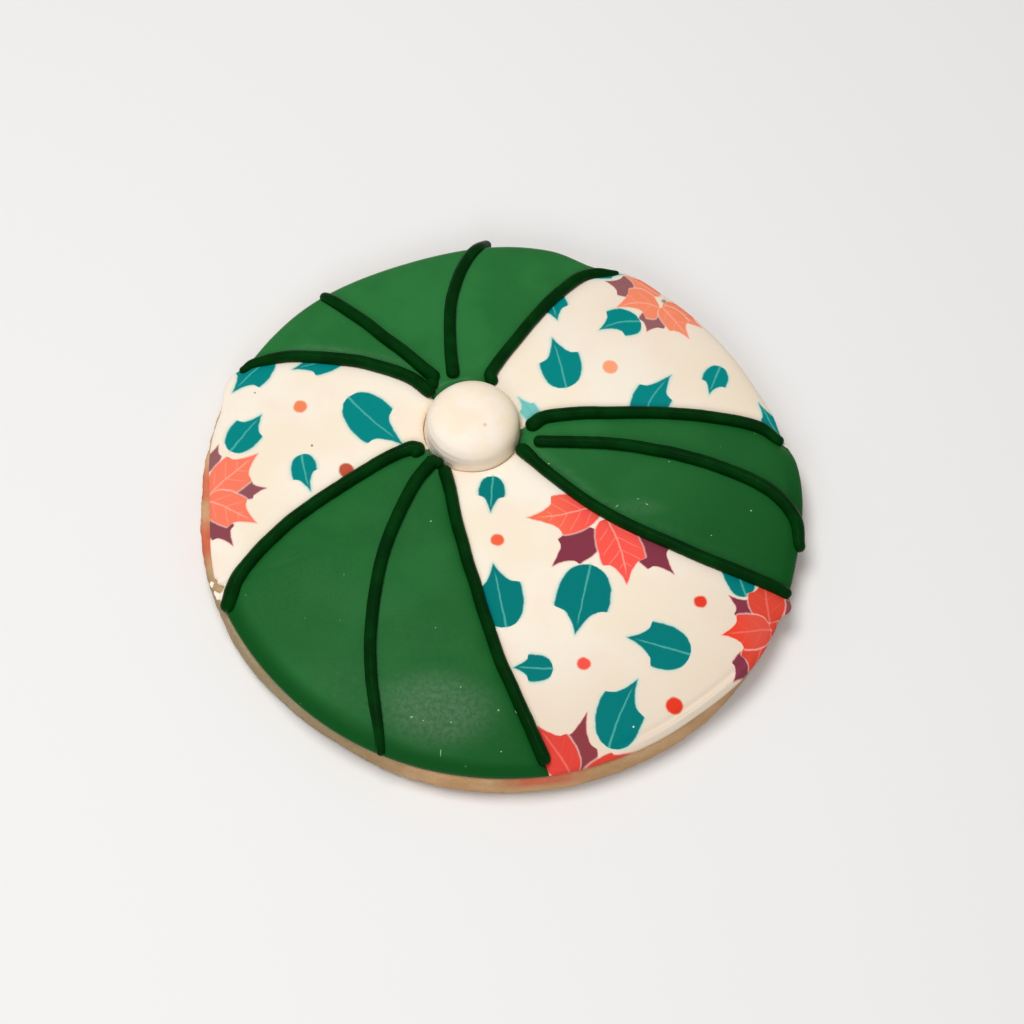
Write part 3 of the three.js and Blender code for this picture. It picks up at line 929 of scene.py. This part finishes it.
PRINTS = {
    "printed_icing_lower_right": (
        leaf((-1.3, 2.9), (-1.15, -2.9), 1.85, shoulders=(0.56, 0.56)),
        leaf((2.6, -20.4), (-0.1, -10.8), 3.25, shoulders=(0.66, 0.66)),
        leaf((13.4, -9.6), (12.1, -20.5), 3.75, shoulders=(0.61, 0.67)),
        leaf((28.1, -21.8), (19.2, -20.1), 3.4, shoulders=(0.54, 0.69)),
        leaf((9.5, -26), (4, -26.3), 2.05),
        leaf((17.9, -36.6), (21.1, -26.3), 3.25, bend=0.35, shoulders=(0.69, 0.56)),
        leaf((35.3, -12.2), (32.6, -4), 2.2),
        dot((0.2, -7.1), 0.95, srgb(248, 104, 68)),
        dot((29, -13.7), 0.92, srgb(232, 62, 40)),
        dot((13.6, -24.8), 0.95, srgb(247, 87, 72)),
        dot((26.3, -29.6), 1.2, srgb(233, 59, 35)),
        maroon_petal((14.5, -4.5), (8.1, -10.4), 2.5, bend=-0.4),
        maroon_petal((18.3, -4.6), (25.2, -9.9), 2.3, bend=0.4),
        petal((14.3, 0.7), (4, -3.1), 3.2, SCARLET, ORANGE, bend=0.8),
        petal((15.2, -2), (18.7, -12.2), 3.15, SCARLET, bend=0.6, shoulders=(0.68, 0.66)),
        maroon_petal((37, -20), (34.3, -25), 1.7),
        maroon_petal((38, -16), (32.9, -12.2), 1.8),
        rim_petal((40, -15), (42, -10), 1.9),
        rim_petal((40.2, -14), (39, -21.5), 1.9),
        maroon_petal((40.5, -12), (43.8, -14.2), 1.2, srgb(156, 72, 78)),
        rim_petal((38.5, -17), (36.5, -24.5), 2.3),
        rim_petal((38.8, -15.5), (37.5, -8.5), 2.6, veins=0.2),
        rim_petal((39, -16.5), (32.2, -18.4), 2.6, srgb(228, 84, 68), srgb(240, 66, 42), 0.2),
        maroon_petal((14.6, -40.2), (14.6, -31.9), 2.35, srgb(142, 62, 68), 0.6, (0.55, 0.4)),
        rim_petal((14.5, -40.8), (21.5, -36.4), 1.1),
        rim_petal((13.5, -41), (8, -34.5), 2.6, srgb(226, 70, 60)),
    ),
    "printed_icing_left": (
        leaf((-23, 13.5), (-14.4, 6.8), 3.4, bend=-0.3, shoulders=(0.55, 0.66)),
        leaf((-38.6, 3.1), (-34.9, 9.4), 2.35),
        leaf((-28.5, 3.5), (-26.5, -2.2), 1.85, bend=-0.2, shoulders=(0.48, 0.62)),
        leaf((-35, 19.5), (-39.6, 12.7), 2.6),
        leaf((-24.5, 20.5), (-31.5, 17.3), 2.2),
        dot((-29.6, 11.2), 0.98, srgb(246, 136, 92)),
        dot((-21.9, 1.7), 1.1, srgb(196, 86, 62)),
        dot((-36.3, 12.9), 0.12, srgb(120, 96, 90), 0.1),
        dot((-27.2, 5), 0.16, srgb(110, 110, 96), 0.1),
        maroon_petal((-41.5, 0), (-40.4, 4.2), 1.2, PALE_MAROON),
        maroon_petal((-40.5, -6.5), (-36.2, -11.8), 1.8, srgb(138, 72, 82)),
        maroon_petal((-38, -3.4), (-32.7, -2.3), 1.5, srgb(146, 84, 92)),
        petal((-40.8, -3.8), (-34.6, 3.1), 2.7, CORAL),
        petal((-41, -4.4), (-33.4, -8), 2.6, CORAL),
    ),
    "printed_icing_upper_right": (
        leaf((7.9, 18.5), (5.2, 26.7), 3.0, bend=-0.2, shoulders=(0.56, 0.64)),
        leaf((17.9, 30.8), (12, 28.7), 2.4, bend=-0.6, shoulders=(0.45, 0.7)),
        leaf((18.9, 13.5), (22.9, 22.3), 2.7, bend=0.6),
        leaf((29.9, 24.7), (28.5, 19.7), 1.85),
        leaf((4, 35), (5.8, 29.7), 2.2),
        leaf((39.5, 13.5), (35.7, 19.4), 1.2),
        leaf((10, 38), (15, 39.1), 0.6),
        leaf((4.6, 12.4), (1.2, 16.2), 1.2, fill=srgb(120, 200, 194)),
        dot((14, 22.7), 1.1, srgb(254, 166, 122)),
        maroon_petal((18, 36.3), (12.3, 37.4), 1.9, PALE_MAROON),
        maroon_petal((20.3, 33), (18.9, 29.2), 2.0, PALE_MAROON),
        petal((20.5, 36), (15, 39.1), 1.1, LIT_CORAL),
        petal((21, 34.5), (27, 31.1), 1.7, LIT_CORAL),
        petal((20.5, 33.6), (14.2, 32.8), 2.6, LIT_CORAL, bend=-0.9, shoulders=(0.34, 0.68)),
        petal((20.8, 33.8), (25.1, 28.7), 1.7, LIT_CORAL, bend=0.2),
        dot((21.1, 35), 0.35, srgb(150, 140, 120), 0.25),
    ),
}


# Painted shade on each printed panel: what it keeps of the teal's brightness, and how far its ground darkens
# towards the rim
PAINTED_PANEL_SHADE = {
    "printed_icing_lower_right": (0.82, 0.62),
    "printed_icing_left": (1.0, 0.15),
    "printed_icing_upper_right": (1.0, 0.42),
}

# Specks on the green: how many to a millimetre, the share of cells left out, their reach and their strength
SPECKS = ((0.42, 0.45, 0.14, 0.6), (0.23, 0.7, 0.35, 0.25))

# The painted sheen on the green, where light shines off its surface: its centre, its reach each way and its
# strength
PAINTED_SHEENS = (((-5.6, -33.4, 0), (9, 6.3, 1), 0.18), ((20.3, 0.4, 0), (4, 1.6, 1), 0.06))

# Print that ran over the biscuit's edge: its centre and reach, the height it starts from and its strength
SPILLS = (
    ((-42.5, -1.8, 0), 4.2, 0.2, 0.7),
    ((-41.2, -10.8, 0), 5.0, 0.2, 0.75),
    ((9.8, -41.8, 0), 7.5, 1.6, 0.7),
)


def print_over(under, place, motifs, stamps, teal):
    """Chains the printed motifs over a colour, in order."""
    for motif in motifs:
        inputs = {"Under": under, "Place": place, **motif}
        for key, value in motif.items():
            if key == "Fill" or key.endswith("colour"):
                inputs[key] = linear(value) if value else teal
        stamp = stamps["dot" if "Radius" in motif else "leaf"]
        under = work_out("ShaderNodeGroup", inputs, node_tree=stamp)[0]
    return under


def green_material(colours):
    """Dry green run-out icing: satin, with painted shade towards the right, the front and the front rim,
    specks and a painted sheen.
    """
    finish = Finish("green run-out icing", 0.35, 0.24)
    place, flat = finish.place, on_plan(finish.place)
    x, y, _ = sides(place)
    base = linear(colours.green)
    lighter = tuple(1.12 * value + 0.003 for value in base)
    tint = paint(clouds(place, 0.09, 3, 0.35, 0.65), scaled(base, 0.92), lighter)
    # Painted shade: the green darkens towards the right, the front and the front rim, where less light falls
    to_right = fade(maths("MULTIPLY_ADD", y, -0.8, x), -14, 48, 0.0, 0.9)
    to_rim = fade(vector("LENGTH", flat), 37.5, 41.5) * fade(y, 24, 4)
    to_front = fade(y, 25, -8, 0.0, 0.36)
    deep = maths("MAXIMUM", maths("MAXIMUM", to_right, to_rim), to_front)
    tint = paint(deep, tint, linear(colours.shaded_green))
    for scale, left_out, size, strength in SPECKS:
        distance, draw, *_ = work_out("ShaderNodeTexVoronoi", {"Vector": place, "Scale": scale})
        chance, width, _ = work_out("ShaderNodeSeparateColor", {0: draw})
        reach = width * (size * scale)
        speck = fade(distance, reach, reach * 0.4) * maths("GREATER_THAN", chance, left_out)
        tint = paint(speck * strength, tint, ink(128, 172, 112))
    # Painted sheen: pale mottled patches where light shines off the green
    for centre, reach, strength in PAINTED_SHEENS:
        away = vector("LENGTH", vector("DIVIDE", vector("SUBTRACT", flat, centre), reach))
        painted_sheen = fade(away, 1.15, 0.3) * clouds(flat, 1.5, 5, 0.36, 0.64, 0.35, 1, 0.7)
        tint = paint(painted_sheen * strength, tint, ink(165, 180, 160))
    finish.colour(tint)
    uneven = clouds(place, 1.1, 4, 0.36, 0.66, 0.2, 0.32, 0.7)
    finish.roughness(maths("MULTIPLY_ADD", to_right, 0.3, uneven))
    finish.grain(0.019, 2.6, 4, 0.6)
    return finish.material


def piping_material(colours):
    """Piped dark green icing: satin, with a slightly uneven skin."""
    finish = Finish("dark green piping", 0.34, 0.08)
    base = linear(colours.piping)
    finish.colour(paint(clouds(finish.place, 0.3, 2, 0.35, 0.7), base, scaled(base, 1.6)))
    finish.roughness(clouds(finish.place, 1.5, 3, 0.3, 0.7, 0.28, 0.4))
    finish.grain(0.035, 1.4, 2)
    return finish.material


def printed_material(name, colours, stamps):
    """Cream icing with its print. The ink's edge is a little uneven, and its ground finely mottled."""
    teal_share, painted_rim_shade = PAINTED_PANEL_SHADE[name]
    finish = Finish("print on " + name, 0.52, 0.1)
    flat = on_plan(finish.place)
    base = linear(colours.cream)
    tint = paint(clouds(flat, 0.07, 2, 0.36, 0.66), base, scaled(base, 0.98, 0.94, 0.87))
    tint = paint(clouds(flat, 0.16, 3, 0.48, 0.7, 0.0, 0.7), tint, scaled(base, 0.99, 0.91, 0.89))
    # Painted shade: the cream ground darkens towards the rim
    to_rim = fade(vector("LENGTH", flat), 14, 42, 0.0, painted_rim_shade)
    tint = paint(to_rim, tint, scaled(base, 0.76, 0.68, 0.62))
    tint = paint(0.1, tint, noises(flat, 3.2, 2, 0.6)[1], "OVERLAY")
    drifted = shifted(flat, 0.32, 0.7, 2)
    ragged = shifted(flat, 0.1, 4.0, 1, start=drifted)
    # Painted shade: the teal keeps less of its brightness on some panels
    teal = scaled(linear(colours.teal), teal_share)
    finish.colour(print_over(tint, ragged, PRINTS[name], stamps, teal))
    finish.roughness(clouds(finish.place, 1.1, 3, 0.3, 0.7, 0.44, 0.58))
    finish.grain(0.025, 1.8, 4, 0.6)
    return finish.material


def button_material(colours):
    """Piped cream icing: smooth and satin, with painted shade towards its right side and one small pit
    painted as a darker spot of shade.
    """
    finish = Finish("cream piping", 0.5, 0.2)
    base = linear(colours.button)
    tint = paint(clouds(finish.place, 0.22, 2, 0.4, 0.65), base, scaled(base, 0.99, 0.95, 0.88))
    # Painted shade: beige towards the right side
    tint = paint(fade(sides(finish.place)[0], -2.5, 1.8, 0.0, 0.7), tint, ink(240, 224, 190))
    # Painted shade of a small pit: a darker tan spot
    to_pit = vector("DISTANCE", on_plan(finish.place), (-3.1, 8.9, 0))
    finish.colour(paint(fade(to_pit, 0.45, 0.1, 0.0, 0.6), tint, ink(225, 180, 135)))
    finish.grain(0.04, 1.2, 3)
    return finish.material


def biscuit_material(colours):
    """Baked dough: pale with a fine crumb, browner underneath, tinted where the print ran over the edge, with
    painted shade and a painted green reflection towards the front left.
    """
    finish = Finish("baked sugar dough", 0.85, 0.25)
    place, flat = finish.place, on_plan(finish.place)
    height = sides(place)[2]
    base = linear(colours.biscuit)
    darker = scaled(base, 0.82, 0.75, 0.64)
    tint = paint(clouds(place, 0.16, 3, 0.35, 0.7), base, darker)
    crumb = noises(place, 2.4, 4, 0.65)[0]
    tint = paint(fade(crumb, 0.35, 0.65, 0.0, 0.4), tint, darker)
    wobbled = shifted(place, 4, 0.6, 3, 0.6, flat)
    for centre, reach, low, strength in SPILLS:
        away = vector("DISTANCE", wobbled, centre)
        share = fade(away, reach, reach * 0.3) * fade(height, low, low + 2)
        tint = paint(share * strength, tint, ink(214, 86, 62))
    tint = paint(fade(height, 1.1, 0.05, 0.0, 0.85), tint, linear(colours.underside))
    # Painted shade and a painted green reflection: the side darkens and greens towards the front left, below
    # the green icing
    shade_and_green_reflection = vector("DOT_PRODUCT", flat, (-0.67, -0.74, 0))
    tint = paint(fade(shade_and_green_reflection, 34, 42), tint, (0.62, 0.76, 0.82), "MULTIPLY")
    finish.colour(tint)
    pores = work_out("ShaderNodeTexVoronoi", {"Vector": place, "Scale": 1.7})[0]
    finish.relief(fade(pores, 0.0, 0.35) * 0.05 + crumb * 0.12)
    return finish.material


# ---------------- operators


class BuildBiscuit(bpy.types.Operator):
    """Build the baked biscuit"""

    bl_idname = "mesh.cookie_biscuit"
    bl_label = "Biscuit"

    def execute(self, context):
        mesh = biscuit_mesh("biscuit_base_look", context.scene.cookie_sizes)
        add_piece(mesh, biscuit_material(context.scene.cookie_colours), "biscuit_base")
        return {"FINISHED"}


class BuildIcing(bpy.types.Operator):
    """Build the six cushions of run-out icing"""

    bl_idname = "mesh.cookie_icing"
    bl_label = "Icing"

    def execute(self, context):
        colours = context.scene.cookie_colours
        stamps = {"leaf": leaf_group(), "dot": dot_group()}
        green = green_material(colours)
        for name, start_line, end_line in CUSHIONS:
            mesh = cushion_mesh(name + "_look", start_line, end_line, context.scene.cookie_sizes)
            if name in PRINTS:
                add_piece(mesh, printed_material(name, colours, stamps), name)
            else:
                add_piece(mesh, green, name)
        return {"FINISHED"}


class BuildGrains(bpy.types.Operator):
    """Build the sugar grains, among them painted glints, and the crumbs of icing that stand on the surface"""

    bl_idname = "mesh.cookie_grains"
    bl_label = "Grains and crumbs"

    def execute(self, context):
        sugar = Finish("sugar grains and painted glints", 0.4, 0.4)
        # Pale green, for the sugar grains and for the painted glints among them
        sugar.colour(ink(150, 190, 138))
        crumbs = Finish("icing crumbs", 0.5, 0.3)
        crumbs.colour(linear(context.scene.cookie_colours.cream))
        for name, grains, slot, finish in (
            ("sugar_grains_and_glints", SUGAR_GRAINS_AND_GLINTS, "green_icing", sugar),
            ("icing_crumbs", ICING_CRUMBS, "printed_icing", crumbs),
        ):
            add_piece(grains_mesh(name, grains, context.scene.cookie_sizes), finish.material)
        return {"FINISHED"}


class BuildPiping(bpy.types.Operator):
    """Build the ten piped lines"""

    bl_idname = "mesh.cookie_piping"
    bl_label = "Piped lines"

    def execute(self, context):
        material = piping_material(context.scene.cookie_colours)
        for index, line in enumerate(LINES):
            name = f"piped_line_{index + 1}"
            mesh = line_mesh(name + "_look", line, context.scene.cookie_sizes, 100 + index)
            add_piece(mesh, material, name)
        return {"FINISHED"}


class BuildButton(bpy.types.Operator):
    """Build the piped button at the hub"""

    bl_idname = "mesh.cookie_button"
    bl_label = "Button"

    def execute(self, context):
        material = button_material(context.scene.cookie_colours)
        add_piece(button_mesh("icing_button_look"), material, "icing_button")
        return {"FINISHED"}


# The camera looks at this height on the cookie's axis, from this far to the right and this far down
AIM_HEIGHT = 6
CAMERA_RIGHT = 1.682
CAMERA_DOWN = 2.039


def area_lamp(name, place, size, power):
    """A round lamp that shines at the cookie."""
    lamp = bpy.data.lights.new(name, "AREA")
    lamp.shape = "DISK"
    lamp.size = size
    lamp.energy = power
    holder = add_object(name, lamp)
    holder.location = place
    holder.rotation_euler = holder.location.to_track_quat("Z", "Y").to_euler()
    return holder


class BuildStage(bpy.types.Operator):
    """Build the floor, the light and the camera"""

    bl_idname = "scene.cookie_stage"
    bl_label = "Stage"

    def execute(self, context):
        scene = context.scene
        stage = scene.cookie_stage
        bm = bmesh.new()
        bmesh.ops.create_grid(bm, x_segments=1, y_segments=1, size=3)
        mesh = bpy.data.meshes.new("floor")
        bm.to_mesh(mesh)
        bm.free()
        finish = Finish("pale floor", 0.9, 0.1)
        finish.colour(linear(scene.cookie_colours.floor))
        mesh.materials.append(finish.material)
        floor = add_object("floor", mesh)

        world = bpy.data.worlds.new("even light")
        world.use_nodes = True
        background = world.node_tree.nodes["Background"]
        background.inputs["Color"].default_value = (1, 1, 1, 1)
        background.inputs["Strength"].default_value = stage.sky
        scene.world = world

        key = area_lamp("key", (-0.13, 0.05, 0.58), stage.lamp_size, stage.key_power)
        key.data.color = (1.0, 0.985, 0.965)
        fill = area_lamp("fill", (-0.08, -0.45, 0.38), stage.lamp_size, stage.fill_power)
        for lamp in (key, fill):
            lamp.visible_glossy = False
        gloss = area_lamp("gloss", (-0.012, 0.13, 0.6), stage.gloss_size, stage.gloss_power)
        gloss.visible_diffuse = False

        camera_data = bpy.data.cameras.new("camera")
        camera_data.lens = stage.lens
        camera_data.sensor_width = 36
        camera_data.clip_start = 0.01
        camera = add_object("camera", camera_data)
        camera.matrix_world = (
            Matrix.Translation((0, 0, AIM_HEIGHT * MM))
            @ Matrix.Rotation(math.pi / 2 - stage.elevation, 4, "X")
            @ Matrix.Rotation(stage.roll, 4, "Z")
            @ Matrix.Translation((CAMERA_RIGHT * MM, -CAMERA_DOWN * MM, stage.distance))
        )
        scene.camera = camera
        scene.view_settings.view_transform = "Standard"
        return {"FINISHED"}


class CookiePanel(bpy.types.Panel):
    """Sizes, colours and steps of the cookie"""

    bl_idname = "VIEW3D_PT_cookie"
    bl_label = "Iced sugar cookie"
    bl_space_type = "VIEW_3D"
    bl_region_type = "UI"
    bl_category = "Cookie"

    def draw(self, context):
        for group in GROUPS:
            settings = getattr(context.scene, group)
            for name in settings.__annotations__:
                self.layout.prop(settings, name)
        for operator in OPERATORS:
            self.layout.operator(operator.bl_idname)


GROUPS = {"cookie_sizes": CookieSizes, "cookie_colours": CookieColours, "cookie_stage": CookieStage}
OPERATORS = (BuildBiscuit, BuildIcing, BuildGrains, BuildPiping, BuildButton, BuildStage)


def register():
    for kind in (*GROUPS.values(), *OPERATORS, CookiePanel):
        bpy.utils.register_class(kind)
    for name, group in GROUPS.items():
        setattr(bpy.types.Scene, name, bpy.props.PointerProperty(type=group))


def unregister():
    for name in GROUPS:
        delattr(bpy.types.Scene, name)
    for kind in (CookiePanel, *reversed(OPERATORS), *GROUPS.values()):
        bpy.utils.unregister_class(kind)


def main():
    register()
    bpy.ops.mesh.cookie_biscuit()
    bpy.ops.mesh.cookie_icing()
    bpy.ops.mesh.cookie_grains()
    bpy.ops.mesh.cookie_piping()
    bpy.ops.mesh.cookie_button()
    bpy.ops.scene.cookie_stage()


if __name__ == "__main__":
    main()
